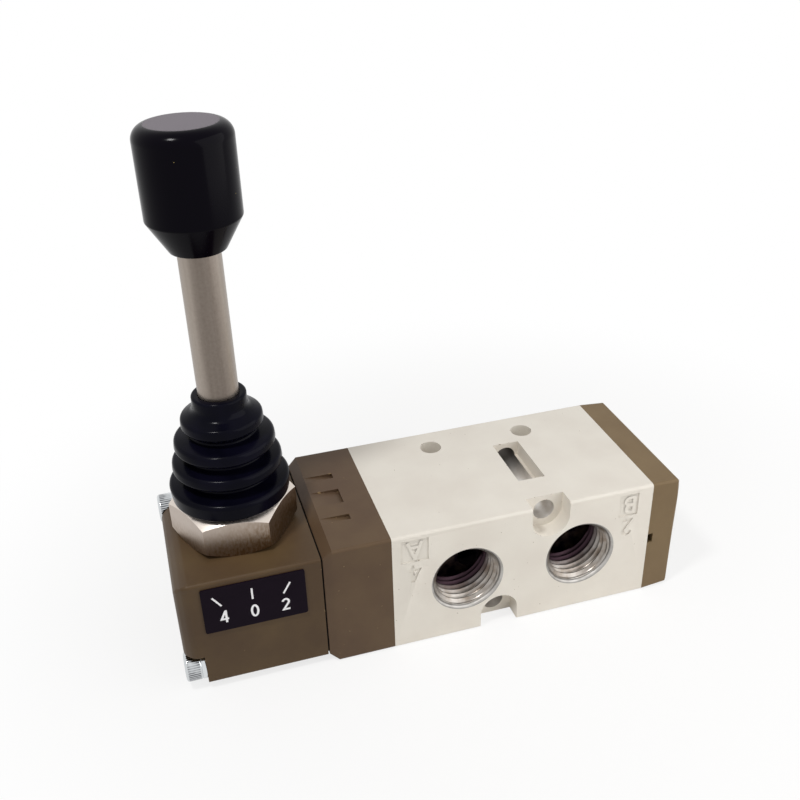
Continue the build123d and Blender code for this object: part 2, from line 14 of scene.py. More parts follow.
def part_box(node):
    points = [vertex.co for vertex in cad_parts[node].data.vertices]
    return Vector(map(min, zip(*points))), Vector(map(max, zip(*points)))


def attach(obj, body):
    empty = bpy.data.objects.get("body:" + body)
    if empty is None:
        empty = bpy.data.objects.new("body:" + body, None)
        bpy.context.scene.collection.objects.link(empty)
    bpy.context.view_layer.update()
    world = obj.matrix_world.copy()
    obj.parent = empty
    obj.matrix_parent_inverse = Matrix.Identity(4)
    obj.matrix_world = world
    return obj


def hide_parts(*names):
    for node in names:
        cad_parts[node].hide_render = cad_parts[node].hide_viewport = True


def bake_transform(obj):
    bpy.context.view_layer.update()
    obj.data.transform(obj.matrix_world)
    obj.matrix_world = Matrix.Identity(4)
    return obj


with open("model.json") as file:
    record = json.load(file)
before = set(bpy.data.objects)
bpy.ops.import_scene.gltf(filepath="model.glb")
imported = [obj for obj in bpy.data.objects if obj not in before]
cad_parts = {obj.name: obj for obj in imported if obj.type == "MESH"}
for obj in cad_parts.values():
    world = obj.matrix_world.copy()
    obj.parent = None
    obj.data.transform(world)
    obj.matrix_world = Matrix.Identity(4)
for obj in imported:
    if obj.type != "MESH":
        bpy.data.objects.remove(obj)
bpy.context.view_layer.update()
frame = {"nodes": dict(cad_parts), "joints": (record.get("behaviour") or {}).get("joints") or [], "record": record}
nodes = frame["nodes"]
mm = 0.001

# Valve body: an aluminium die casting, machined flat and sprayed with ivory enamel.
# The ports and the spool bore are cut after painting, so that their metal is bare.
body_low, body_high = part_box("valve_body")
body_middle = (body_low + body_high) / 2
front = body_low.y
back = body_high.y
weld_distance = 0.001 * mm
# Faces that meet below the flat angle are one face. Edges above the sharp angle get a round, and those
# between the sharp and the square angle are the edges of a bevel.
flat_angle = radians(1)
sharp_angle = radians(25)
square_angle = radians(80)


def linear(code):
    """Turns an sRGB hex colour into the linear one that Blender works in."""
    parts = [int(code[i:i + 2], 16) / 255 for i in (1, 3, 5)]
    return [p / 12.92 if p <= 0.04045 else ((p + 0.055) / 1.055) ** 2.4 for p in parts] + [1]


def add(tree, kind, values=None, **settings):
    """Adds a node with its settings, and a value or a link for each socket that is named."""
    node = tree.nodes.new(kind)
    for name, setting in settings.items():
        setattr(node, name, setting)
    for socket, value in (values or {}).items():
        if isinstance(value, bpy.types.NodeSocket):
            tree.links.new(value, node.inputs[socket])
        else:
            node.inputs[socket].default_value = value
    return node


def material(name, values):
    """Makes a material with those values on its shader, and returns it with its tree and shader."""
    made = bpy.data.materials.new(name)
    made.use_nodes = True
    shader = made.node_tree.nodes["Principled BSDF"]
    for socket, value in values.items():
        shader.inputs[socket].default_value = value
    return made, made.node_tree, shader


def enamel(name, coat, cloud, chip, gloss_level, peel_size):
    """Sprayed enamel: a satin coat with faint clouds and fine peel, chipped along its edges."""
    made, tree, shader = material(name, {"IOR": 1.5, "Specular IOR Level": gloss_level})
    place = add(tree, "ShaderNodeTexCoord").outputs["Object"]
    # Clouds about 9 mm across, where the coat is a little thicker or older
    clouds = add(tree, "ShaderNodeTexNoise", {"Vector": place, "Scale": 1 / (9 * mm), "Detail": 6})
    depth = add(tree, "ShaderNodeMapRange", {"Value": clouds.outputs[0], "From Min": 0.35, "From Max": 0.65})
    paint = add(
        tree, "ShaderNodeMix", {0: depth.outputs[0], 6: linear(coat), 7: linear(cloud)}, data_type="RGBA"
    )
    # Chips and rubbed spots up to 1 mm long, only where a rounded normal leaves the real one: along edges
    rounded_normal = add(tree, "ShaderNodeBevel", {"Radius": 0.35 * mm}, samples=8)
    flat_normal = add(tree, "ShaderNodeNewGeometry").outputs["Normal"]
    turn = add(
        tree, "ShaderNodeVectorMath", {0: rounded_normal.outputs[0], 1: flat_normal}, operation="DOT_PRODUCT"
    )
    edge = add(
        tree, "ShaderNodeMapRange", {"Value": turn.outputs["Value"], "From Min": 0.99, "From Max": 0.93}
    )
    spots = add(tree, "ShaderNodeTexNoise", {"Vector": place, "Scale": 1 / (0.9 * mm), "Detail": 3})
    worn = add(tree, "ShaderNodeMapRange", {"Value": spots.outputs[0], "From Min": 0.63, "From Max": 0.67})
    chipped = add(tree, "ShaderNodeMath", {0: worn.outputs[0], 1: edge.outputs[0]}, operation="MULTIPLY")
    # Pinholes and specks of grit a third of a millimetre across, a few on each face
    grit = add(tree, "ShaderNodeTexNoise", {"Vector": place, "Scale": 1 / (0.35 * mm), "Detail": 0})
    speck = add(tree, "ShaderNodeMapRange", {"Value": grit.outputs[0], "From Min": 0.88, "From Max": 0.91})
    marred = add(
        tree, "ShaderNodeMath", {0: chipped.outputs[0], 1: speck.outputs[0]},
        operation="MAXIMUM", use_clamp=True,
    )
    seen = add(
        tree, "ShaderNodeMix", {0: marred.outputs[0], 6: paint.outputs[2], 7: linear(chip)}, data_type="RGBA"
    )
    tree.links.new(seen.outputs[2], shader.inputs["Base Color"])
    # The gloss wanders a little, as handling polishes some places and leaves grease on others
    gloss = add(tree, "ShaderNodeMapRange", {"Value": clouds.outputs[0], "To Min": 0.37, "To Max": 0.49})
    tree.links.new(gloss.outputs[0], shader.inputs["Roughness"])
    peel = add(tree, "ShaderNodeTexNoise", {"Vector": place, "Scale": 1 / peel_size, "Detail": 2})
    bump = add(
        tree, "ShaderNodeBump", {"Height": peel.outputs[0], "Strength": 0.35, "Distance": 0.02 * mm}
    )
    tree.links.new(bump.outputs[0], shader.inputs["Normal"])
    return made


def machined(name, metal, tarnish, roughness, mark_spacing, axis):
    """Turned or bored metal: fine tool marks round the given axis, and a faint uneven tarnish."""
    made, tree, shader = material(name, {"Metallic": 1})
    place = add(tree, "ShaderNodeTexCoord").outputs["Object"]
    cloud = add(tree, "ShaderNodeTexNoise", {"Vector": place, "Scale": 1 / (2.5 * mm), "Detail": 5})
    dull = add(tree, "ShaderNodeMapRange", {"Value": cloud.outputs[0], "From Min": 0.4, "From Max": 0.7})
    tint = add(
        tree, "ShaderNodeMix", {0: dull.outputs[0], 6: linear(metal), 7: linear(tarnish)}, data_type="RGBA"
    )
    tree.links.new(tint.outputs[2], shader.inputs["Base Color"])
    gloss = add(
        tree, "ShaderNodeMapRange",
        {"Value": cloud.outputs[0], "To Min": roughness - 0.06, "To Max": roughness + 0.08},
    )
    tree.links.new(gloss.outputs[0], shader.inputs["Roughness"])
    # One wave is one turn of the tool, and at a scale of 1 a wave is a tenth of pi long
    marks = add(
        tree, "ShaderNodeTexWave", {"Vector": place, "Scale": pi / 10 / mark_spacing, "Distortion": 1.5},
        bands_direction=axis,
    )
    bump = add(
        tree, "ShaderNodeBump", {"Height": marks.outputs[1], "Strength": 0.3, "Distance": 0.01 * mm}
    )
    tree.links.new(bump.outputs[0], shader.inputs["Normal"])
    return made


def shade_along_y(metal, painted_dark, start, end, both_ways=False):
    """Darkens a metal with painted shade between two places along Y, or on both sides of the middle."""
    tree = metal.node_tree
    tone = tree.nodes["Principled BSDF"].inputs["Base Color"]
    bare = tone.links[0].from_socket
    place = add(tree, "ShaderNodeTexCoord").outputs["Object"]
    along = add(tree, "ShaderNodeSeparateXYZ", {0: place}).outputs["Y"]
    if both_ways:
        along = add(tree, "ShaderNodeMath", {0: along}, operation="ABSOLUTE").outputs[0]
    painted_dark_amount = add(tree, "ShaderNodeMapRange", {"Value": along, "From Min": start, "From Max": end})
    tint = add(tree, "ShaderNodeMix", {0: painted_dark_amount.outputs[0], 6: bare, 7: linear(painted_dark)}, data_type="RGBA")
    tree.links.new(tint.outputs[2], tone)


def keep_flat(piece):
    """Shades large flat faces flat, so that the light bends only in the rounds along their edges."""
    weighted = piece.modifiers.new("flat faces stay flat", "WEIGHTED_NORMAL")
    weighted.keep_sharp = True


def object_from(name, work, *finishes):
    """Ends a mesh in the making as a smooth-shaded object whose sharp edges stay sharp."""
    bmesh.ops.recalc_face_normals(work, faces=work.faces)
    for face in work.faces:
        face.smooth = True
    for edge in work.edges:
        edge.smooth = edge.calc_face_angle(0) < sharp_angle
    mesh = bpy.data.meshes.new(name)
    work.to_mesh(mesh)
    work.free()
    for finish in finishes:
        mesh.materials.append(finish)
    made = bpy.data.objects.new(name, mesh)
    bpy.context.scene.collection.objects.link(made)
    keep_flat(made)
    return made


def softened(node, *finishes, radius, bevel_radius=0):
    """Copies a CAD node's mesh, makes its flat faces whole and rounds its sharp edges and its bevels."""
    work = bmesh.new()
    work.from_mesh(nodes[node].data)
    bmesh.ops.remove_doubles(work, verts=work.verts, dist=weld_distance)
    bmesh.ops.dissolve_limit(work, angle_limit=flat_angle, verts=work.verts, edges=work.edges)
    if bevel_radius:
        edges = [edge for edge in work.edges if sharp_angle < edge.calc_face_angle(0) < square_angle]
        bmesh.ops.bevel(work, geom=edges, offset=bevel_radius, segments=5, profile=0.5, affect="EDGES")
    edges = [edge for edge in work.edges if edge.calc_face_angle(0) > sharp_angle]
    bmesh.ops.bevel(
        work, geom=edges, offset=radius, segments=3, profile=0.5, affect="EDGES", clamp_overlap=True
    )
    return object_from(node + "_finished", work, *finishes)


def fit(piece, body, slot, *replaced):
    """Puts a piece on its body, in place of the CAD nodes that it stands for. The slot argument is not used."""
    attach(piece, body)
    if replaced:
        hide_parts(*replaced)


ivory_enamel = enamel(
    "ivory_enamel", "#E5DFD4", "#DFD8CD", "#978873", gloss_level=0.35, peel_size=0.5 * mm
)
# Cut aluminium is satin grey in the ports, and pale where a coarser tool has cut the countersinks and the
# bolt holes. The ports' floors are painted dark violet, as painted shade deep in the ports
bored_aluminium = machined(
    "bored_aluminium", "#A8A39D", "#7B6E62", roughness=0.34, mark_spacing=0.12 * mm, axis="Y"
)
countersunk_aluminium = machined(
    "countersunk_aluminium", "#B9B6B2", "#98948F", roughness=0.5, mark_spacing=0.2 * mm, axis="Y"
)
# Painted shade: the ports' floors are near black violet
shade_painted_aluminium = machined(
    "shade_painted_aluminium", "#1C1222", "#6E5C52", roughness=0.3, mark_spacing=0.5 * mm, axis="Y"
)
drilled_aluminium = machined(
    "drilled_aluminium", "#EAE7E3", "#D2CDC7", roughness=0.5, mark_spacing=0.3 * mm, axis="Y"
)
# Painted shade: the bolt holes' walls are painted darker deeper in, towards the back
shade_along_y(drilled_aluminium, "#7A746E", start=1 * mm, end=9 * mm)

# Behind the threads the casting is raw, and painted near black as painted shade deep inside the body
shade_painted_casting, tree, shader = material("shade_painted_casting", {"Specular IOR Level": 0.2})
place = add(tree, "ShaderNodeTexCoord").outputs["Object"]
painted_dark_amount = add(tree, "ShaderNodeTexNoise", {"Vector": place, "Scale": 1 / (1.5 * mm), "Detail": 5})
tint = add(
    tree, "ShaderNodeMix", {0: painted_dark_amount.outputs[0], 6: linear("#0D080D"), 7: linear("#261C20")}, data_type="RGBA"
)
tree.links.new(tint.outputs[2], shader.inputs["Base Color"])
gloss = add(tree, "ShaderNodeMapRange", {"Value": painted_dark_amount.outputs[0], "To Min": 0.45, "To Max": 0.75})
tree.links.new(gloss.outputs[0], shader.inputs["Roughness"])

body_finishes = [
    ivory_enamel, bored_aluminium, shade_painted_casting, countersunk_aluminium, shade_painted_aluminium, drilled_aluminium
]
body = softened("valve_body", *body_finishes, radius=0.04 * mm)

# Port marks: a sunk box round each letter, with a sunk number under it, cast into the body's front.
# They read upside down from the front, as on the casting.
sunk_depth = 0.21 * mm
tool_reach = 1 * mm
box_middle_z = 22.35 * mm
box_half_height = 2.5 * mm
letter_height = 4.1 * mm
number_z = 17.1 * mm
number_height = 4.0 * mm
mark_weight = 0.62 * mm
# Letter, number, the x of both, and half the width of the letter's box
port_marks = [
    ("A", "4", -21.95 * mm, 2.65 * mm),
    ("B", "2", 21.25 * mm, 2.0 * mm),
]


def carved(piece, tool):
    """Cuts a tool out of a piece and removes the tool."""
    piece.modifiers.clear()
    cut = piece.modifiers.new("carved", "BOOLEAN")
    cut.operation = "DIFFERENCE"
    cut.object = tool
    cut.solver = "EXACT"
    result = piece.evaluated_get(bpy.context.evaluated_depsgraph_get())
    piece.data = bpy.data.meshes.new_from_object(result)
    piece.modifiers.clear()
    bpy.data.objects.remove(tool)


def block(name, low, high):
    """A plain block between two corners, to cut with."""
    work = bmesh.new()
    bmesh.ops.create_cube(work, size=1)
    bmesh.ops.scale(work, vec=high - low, verts=work.verts)
    bmesh.ops.translate(work, vec=(low + high) / 2, verts=work.verts)
    return object_from(name, work)


def stroke(name, line, width, depth, *finishes, closed=False):
    """A bar of that width along a line of (x, z) places, mitred at its corners, and deep along Y."""
    count = len(line)
    work = bmesh.new()
    sides = []
    for i, here in enumerate(line):
        before = here - line[i - 1] if closed or i else line[1] - here
        after = line[(i + 1) % count] - here if closed or i < count - 1 else before
        across = before.normalized() + after.normalized()
        across = Vector((-across.y, across.x)).normalized()
        reach = width / 2 / across.dot(Vector((-after.y, after.x)).normalized())
        sides.append([
            work.verts.new((p.x, y, p.y))
            for p, y in (
                (here - across * reach, depth[0]), (here + across * reach, depth[0]),
                (here + across * reach, depth[1]), (here - across * reach, depth[1]),
            )
        ])
    for one, two in zip(sides, sides[1:] + sides[:1] * closed):
        for i in range(4):
            work.faces.new((one[i], one[(i + 1) % 4], two[(i + 1) % 4], two[i]))
    if not closed:
        work.faces.new(sides[0])
        work.faces.new(sides[-1])
    return object_from(name, work, *finishes)


def arc(centre, across, up, start, end, steps=12):
    """Places round part of an ellipse, from one angle to another in degrees."""
    angles = [radians(start + (end - start) * i / steps) for i in range(steps + 1)]
    return [(centre[0] + across * cos(a), centre[1] + up * sin(a)) for a in angles]


# Each figure is drawn by its strokes in a box of height 1, and True closes a stroke on itself
strokes = {
    "A": [
        ([(-0.34, -0.5), (0.03, 0.5)], False), ([(0.34, -0.5), (-0.03, 0.5)], False),
        ([(-0.22, -0.2), (0.22, -0.2)], False),
    ],
    "B": [
        ([(-0.27, 0.02), (-0.27, 0.41)] + arc((-0.05, 0.215), 0.18, 0.195, 90, -90), True),
        ([(-0.27, -0.41), (-0.27, -0.02)] + arc((-0.03, -0.215), 0.2, 0.195, 90, -90), True),
    ],
    "4": [([(0.12, -0.5), (0.12, 0.5)], False), ([(0.09, 0.44), (-0.2, -0.2), (0.27, -0.2)], False)],
    "0": [(arc((0, 0), 0.2, 0.43, 0, 345, 23), True)],
    "2": [(arc((0, 0.2), 0.2, 0.22, 170, -25) + [(-0.17, -0.42), (0.25, -0.42)], False)],
}


def figure(name, centre, height, weight, depth, *finishes, upside_down=False):
    """The strokes of a figure on a face towards -Y, upright or upside down."""
    grow = -height if upside_down else height
    return [
        stroke(name, [centre + Vector(p) * grow for p in line], weight, depth, *finishes, closed=closed)
        for line, closed in strokes[name]
    ]


for letter, number, x, half_width in port_marks:
    low = Vector((x - half_width, front - tool_reach, box_middle_z - box_half_height))
    high = Vector((x + half_width, front + sunk_depth, box_middle_z + box_half_height))
    box = block("sunk_box", low, high)
    # The letter stands level with the face, so its strokes are taken out of the block that cuts the box
    middle = Vector((x, box_middle_z))
    through = (front - 2 * tool_reach, front + tool_reach)
    for part in figure(letter, middle, letter_height, mark_weight, through, upside_down=True):
        carved(box, part)
    carved(body, box)
    middle = Vector((x, number_z))
    sunk = (front - tool_reach, front + sunk_depth)
    for part in figure(number, middle, number_height, mark_weight, sunk, upside_down=True):
        carved(body, part)

# Port mouths: each port is countersunk after painting, wider than its thread, to lead its fitting in.
# Here all the cuts get their bare metal: mouths, ports, bolt holes and the spool bore.
mounts = frame["record"]["mounts"]
ports = {mount["name"]: mount for mount in mounts if mount["kind"] == "threaded_hole"}
bolt_holes = [mount for mount in mounts if mount["kind"] == "bore" and mount["name"].startswith("cross")]
mouth_spread = 0.6 * mm
cutter_outside = 1 * mm
cutter_inside = 2 * mm
bore_clear = 7.2 * mm
half_depth = body_middle.y - front
face_tolerance = 0.02 * mm
wall_tolerance = 0.1 * mm


def port_axis(port):
    """A port's mouth on the body's face, its inward direction, its radius and its depth from that face."""
    place = Vector(port["pos_m"])
    inward = -port["axis"][1]
    mouth = Vector((place.x, front if inward > 0 else back, place.z))
    return mouth, inward, port["dims"]["r_mm"] * mm, port["dims"]["length_mm"] * mm + (place - mouth).length


def show_metal(face, metal):
    """Shows one of the body's bare metals on a face."""
    face.material_index = body_finishes.index(metal)


# The cutter is a cone of 45 degrees to each side, and it is as wide as the mouth where it meets the face
for port in ports.values():
    mouth, inward, radius, depth = port_axis(port)
    rim = radius + mouth_spread
    work = bmesh.new()
    bmesh.ops.create_cone(
        work, cap_ends=True, segments=128, radius1=rim + cutter_outside, radius2=rim - cutter_inside,
        depth=cutter_outside + cutter_inside, matrix=Matrix.Rotation(radians(90) * -inward, 4, "X"),
    )
    sunk = inward * (cutter_inside - cutter_outside) / 2
    bmesh.ops.translate(work, vec=mouth + Vector((0, sunk, 0)), verts=work.verts)
    carved(body, object_from("countersink", work))
keep_flat(body)

# A face is told by its distance from the axis of each hole, and in a port by its depth too
for face in body.data.polygons:
    place = face.center
    for hole in bolt_holes:
        reach = (place.xz - Vector(hole["pos_m"]).xz).length
        if abs(reach - hole["dims"]["r_mm"] * mm) < wall_tolerance and abs(face.normal.y) < 0.5:
            show_metal(face, drilled_aluminium)
    # The spool bore, and the ports beyond their floors, get the casting's painted shade
    if (place.yz - body_middle.yz).length < bore_clear:
        show_metal(face, shade_painted_casting)
    for port in ports.values():
        mouth, inward, radius, depth = port_axis(port)
        sunk = inward * (place.y - mouth.y)
        reach = (place.xz - mouth.xz).length
        if face_tolerance < sunk < half_depth and reach < radius + mouth_spread + wall_tolerance:
            if sunk < mouth_spread:
                show_metal(face, countersunk_aluminium)
            elif sunk < depth - wall_tolerance:
                show_metal(face, bored_aluminium)
            elif sunk < depth + wall_tolerance:
                show_metal(face, shade_painted_aluminium)
            else:
                show_metal(face, shade_painted_casting)
fit(body, "root", "ivory_paint", "valve_body")

# Port threads: whitworth-form pipe threads cut by a tap, bright and slightly torn.
# Each is a ridge wound round the port's wall, and its deeper turns are painted violet brown as painted shade.
coarse_pitch = 1.337 * mm
fine_pitch = 0.907 * mm
coarse_from_radius = 6 * mm
depth_to_pitch = 0.5
steps_per_turn = 72
ridge_points = 9
run_out = 0.2 * mm
overlap = 0.03 * mm


def thread_ridge(name, port, pitch, finish):
    """Winds a rounded ridge up the inside of a port."""
    mouth, inward, radius, bottom = port_axis(port)
    top = mouth_spread
    work = bmesh.new()
    rings = []
    for step in range(int((bottom / pitch + 1) * steps_per_turn)):
        angle = tau * step / steps_per_turn
        ring = []
        for i in range(ridge_points + 1):
            across = i / ridge_points - 0.5
            depth = min(max((angle / tau - 0.5 + across) * pitch, top), bottom)
            fade = max(0, min(1, (bottom - depth) / run_out))
            height = depth_to_pitch * pitch * (0.5 + 0.5 * cos(tau * across)) * fade
            ring.append((depth, radius - min(height, depth - top)))
        ring = [(ring[0][0], radius + overlap)] + ring + [(ring[-1][0], radius + overlap)]
        rings.append([
            work.verts.new((mouth.x + r * cos(angle), mouth.y + inward * depth, mouth.z + r * sin(angle)))
            for depth, r in ring
        ])
    for one, two in zip(rings, rings[1:]):
        for i in range(len(one)):
            j = (i + 1) % len(one)
            work.faces.new((one[i], one[j], two[j], two[i]))
    bmesh.ops.dissolve_degenerate(work, dist=weld_distance, edges=work.edges)
    return object_from(name, work, finish)


tapped_aluminium = machined(
    "tapped_aluminium", "#A8A39D", "#7B6E62", roughness=0.34, mark_spacing=0.12 * mm, axis="Y"
)
# Painted shade: the turns darken deeper into each port
shade_along_y(tapped_aluminium, "#392B31", start=back - 3.5 * mm, end=back - 6.5 * mm, both_ways=True)
for name, port in ports.items():
    pitch = coarse_pitch if port["dims"]["r_mm"] * mm > coarse_from_radius else fine_pitch
    thread = thread_ridge(name + "_thread", port, pitch, tapped_aluminium)
    fit(thread, "root", "machined_aluminium")

# Spool: turned aluminium, ground on its lands, with a moulded rubber ring in each land.
# Through the ports it shows as a dark bar with a pale band or two. A ground steel pin holds its yoke.
turned_aluminium = machined(
    "turned_aluminium", "#9C958E", "#6E665F", roughness=0.34, mark_spacing=0.15 * mm, axis="X"
)
ground_steel = machined(
    "ground_steel", "#A9A7A4", "#8B8781", roughness=0.22, mark_spacing=0.08 * mm, axis="Z"
)


def rubber(name, tone, bloom, roughness):
    """Moulded rubber: nearly black, with a soft sheen and a faint bloom."""
    made, tree, shader = material(name, {"IOR": 1.5, "Specular IOR Level": 0.05})
    place = add(tree, "ShaderNodeTexCoord").outputs["Object"]
    cloud = add(tree, "ShaderNodeTexNoise", {"Vector": place, "Scale": 1 / (5 * mm), "Detail": 6})
    patch = add(tree, "ShaderNodeMapRange", {"Value": cloud.outputs[0], "From Min": 0.42, "From Max": 0.72})
    tint = add(
        tree, "ShaderNodeMix", {0: patch.outputs[0], 6: linear(tone), 7: linear(bloom)}, data_type="RGBA"
    )
    tree.links.new(tint.outputs[2], shader.inputs["Base Color"])
    gloss = add(
        tree, "ShaderNodeMapRange",
        {"Value": cloud.outputs[0], "To Min": roughness - 0.06, "To Max": roughness + 0.1},
    )
    tree.links.new(gloss.outputs[0], shader.inputs["Roughness"])
    # The mould's grain, a quarter of a millimetre wide
    grain = add(tree, "ShaderNodeTexNoise", {"Vector": place, "Scale": 1 / (0.25 * mm), "Detail": 2})
    bump = add(
        tree, "ShaderNodeBump", {"Height": grain.outputs[0], "Strength": 0.25, "Distance": 0.01 * mm}
    )
    tree.links.new(bump.outputs[0], shader.inputs["Normal"])
    return made


seal_rubber = rubber("seal_rubber", "#17171A", "#222226", roughness=0.4)
fit(softened("spool", turned_aluminium, radius=0.12 * mm), "spool", "machined_aluminium", "spool")
nodes["spool_seals"].material_slots[0].material = seal_rubber
nodes["drive_yoke"].material_slots[0].material = turned_aluminium
nodes["yoke_pin"].material_slots[0].material = ground_steel

# Adapter: a cast block between the body and the lever housing, in the maker's brown enamel.
# Its left end is bevelled down to the housing, and its three sloping marks are cast in.
brown_enamel = enamel(
    "brown_enamel", "#5F4C38", "#564333", "#8F7856", gloss_level=0.2, peel_size=0.35 * mm
)
fit(softened("adapter_block", brown_enamel, radius=0.22 * mm), "root", "brown_paint", "adapter_block")

# Adapter screws: two steel socket heads that hold the adapter on the body, under the housing.
# They are plated with bright zinc, which mirrors what is round it.
bright_zinc = machined(
    "bright_zinc", "#D9DCDE", "#C2C6C8", roughness=0.10, mark_spacing=0.3 * mm, axis="X"
)
fit(softened("adapter_screws", bright_zinc, radius=0.1 * mm), "root", "bright_zinc", "adapter_screws")

# Detent spring: a bent strip of spring steel, whose nose drops into a groove round the spool's rod.
# Hardening in oil has left it grey and a little dull.
spring_steel = machined(
    "spring_steel", "#77736E", "#5F5A55", roughness=0.3, mark_spacing=0.2 * mm, axis="Y"
)
nodes["detent_spring"].material_slots[0].material = spring_steel

# Housing gasket: a thin sheet of black rubber, cut to the outline of the joint and clamped in it.
# Only its edge shows, as a dull dark line.
gasket_rubber = rubber("gasket_rubber", "#0E0D0D", "#141313", roughness=0.6)
nodes["housing_gasket"].material_slots[0].material = gasket_rubber

# Lever housing: a cast box, open inside and bevelled round its left end.
# Its enamel is a darker copy of the adapter's, as painted shade under the boot and lever.
shade_painted_enamel = enamel("shade_painted_enamel", "#56442D", "#4E3C29", "#8F7856", gloss_level=0.2, peel_size=0.35 * mm)
housing = softened("lever_housing", shade_painted_enamel, radius=0.3 * mm, bevel_radius=0.9 * mm)
fit(housing, "root", "brown_paint", "lever_housing")

# Housing screws: two socket heads stand in the corner notches, each on a split washer.
# Their heads are knurled for the fingers, and most of the grooves are painted dark as painted reflection.
head_radius = 2.75 * mm
head_height = 3.0 * mm
shank_radius = 1.5 * mm
socket_flats = 2.5 * mm
socket_depth = 1.5 * mm
knurl_depth = 0.025 * mm
knurl_count = 40
points_around = 240


def socket_screw(name, end, inward, length, finish):
    """A screw along X, from the middle of its head's end face inwards: socket, knurl and shank."""
    hexagon = [
        socket_flats / 2 / cos((tau * i / points_around) % (pi / 3) - pi / 6) for i in range(points_around)
    ]
    knurl = [
        head_radius - knurl_depth * (0.5 - 0.5 * cos(tau * knurl_count * i / points_around))
        for i in range(points_around)
    ]
    plain = [1] * points_around
    # Depth under the end face, outline and what multiplies it, from the socket's floor to the shank's end
    shape = [
        (socket_depth, hexagon, 1), (0, hexagon, 1), (0, plain, head_radius - 0.5 * mm),
        (0.05 * mm, plain, head_radius - 0.3 * mm), (0.18 * mm, plain, head_radius - 0.12 * mm),
        (0.4 * mm, plain, head_radius - 0.02 * mm), (0.55 * mm, knurl, 1),
        (head_height - 0.4 * mm, knurl, 1), (head_height - 0.25 * mm, plain, head_radius - 0.02 * mm),
        (head_height, plain, head_radius - 0.12 * mm), (head_height, plain, shank_radius),
        (head_height + length, plain, shank_radius),
    ]
    work = bmesh.new()
    groove_depth = work.verts.layers.float.new("groove_depth")
    rings = []
    for depth, outline, factor in shape:
        ring = []
        for i, radius in enumerate(outline):
            around = tau * i / points_around
            away = Vector((inward * depth, radius * factor * cos(around), radius * factor * sin(around)))
            ring.append(work.verts.new(end + away))
            if outline is knurl:
                ring[-1][groove_depth] = (head_radius - radius) / knurl_depth
        rings.append(ring)
    for one, two in zip(rings, rings[1:]):
        for i in range(points_around):
            j = (i + 1) % points_around
            work.faces.new((one[i], one[j], two[j], two[i]))
    work.faces.new(rings[0])
    work.faces.new(rings[-1])
    return object_from(name, work, finish)


# Bright chrome is a mirror, with painted dark reflections in the grooves, in patches a few millimetres wide
bright_chrome, tree, shader = material("bright_chrome", {"Metallic": 1, "Roughness": 0.08})
place = add(tree, "ShaderNodeTexCoord").outputs["Object"]
painted_dark_amount = add(tree, "ShaderNodeTexNoise", {"Vector": place, "Scale": 1 / (3 * mm), "Detail": 2})
patches = add(tree, "ShaderNodeMapRange", {"Value": painted_dark_amount.outputs[0], "From Min": 0.38, "From Max": 0.52})
# Painted reflection: the deeper a knurl groove, the darker it is painted
knurled = add(tree, "ShaderNodeAttribute", attribute_name="groove_depth")
painted_dark = add(tree, "ShaderNodeMath", {0: patches.outputs[0], 1: knurled.outputs["Fac"]}, operation="MULTIPLY")
tint = add(
    tree, "ShaderNodeMix", {0: painted_dark.outputs[0], 6: linear("#CDD0D2"), 7: linear("#1C1A26")}, data_type="RGBA"
)
tree.links.new(tint.outputs[2], shader.inputs["Base Color"])


def screws(node, inward, length):
    """Sets a knurled screw at each place where the CAD node has one, told by the two halves in Y."""
    low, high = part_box(node)
    for name, y, z in (("front", low.y + head_radius, low.z + head_radius),
                       ("back", high.y - head_radius, high.z - head_radius)):
        end = Vector((low.x if inward > 0 else high.x, y, z))
        yield socket_screw(node + "_" + name, end, inward, length, bright_chrome)


for screw in screws("housing_screws", inward=1, length=30 * mm):
    fit(screw, "root", "bright_zinc", "housing_screws")
fit(softened("spring_washers", bright_zinc, radius=0.06 * mm), "root", "bright_zinc", "spring_washers")

# Position plate: a thin plate printed violet black, with white figures for the lever's positions.
# The 4 and the 2 name the outlet that is fed, and the 0 is the middle, where both are shut.
plate_film, tree, shader = material("plate_film", {"Roughness": 0.4, "Specular IOR Level": 0.05})
place = add(tree, "ShaderNodeTexCoord").outputs["Object"]
cloud = add(tree, "ShaderNodeTexNoise", {"Vector": place, "Scale": 1 / (4 * mm), "Detail": 4})
tint = add(
    tree, "ShaderNodeMix", {0: cloud.outputs[0], 6: linear("#100812"), 7: linear("#170D19")}, data_type="RGBA"
)
tree.links.new(tint.outputs[2], shader.inputs["Base Color"])
fit(softened("position_plate", plate_film, radius=0.05 * mm), "root", "plate_film", "position_plate")

# Screen-printed ink is matt white, and thinner in spots half a millimetre across
white_ink, tree, shader = material("white_ink", {"Roughness": 0.5})
place = add(tree, "ShaderNodeTexCoord").outputs["Object"]
cloud = add(tree, "ShaderNodeTexNoise", {"Vector": place, "Scale": 1 / (0.4 * mm), "Detail": 3})
tint = add(
    tree, "ShaderNodeMix", {0: cloud.outputs[0], 6: linear("#FFFFFF"), 7: linear("#E4E2E6")}, data_type="RGBA"
)
tree.links.new(tint.outputs[2], shader.inputs["Base Color"])

plate_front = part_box("position_plate")[0].y
ink_thickness = 0.03 * mm
figure_height = 2.75 * mm
figure_weight = 0.4 * mm
tick_weight = 0.33 * mm
# Strokes that cross stand this much in front of each other, so that no two share a face
ink_step = 0.008 * mm
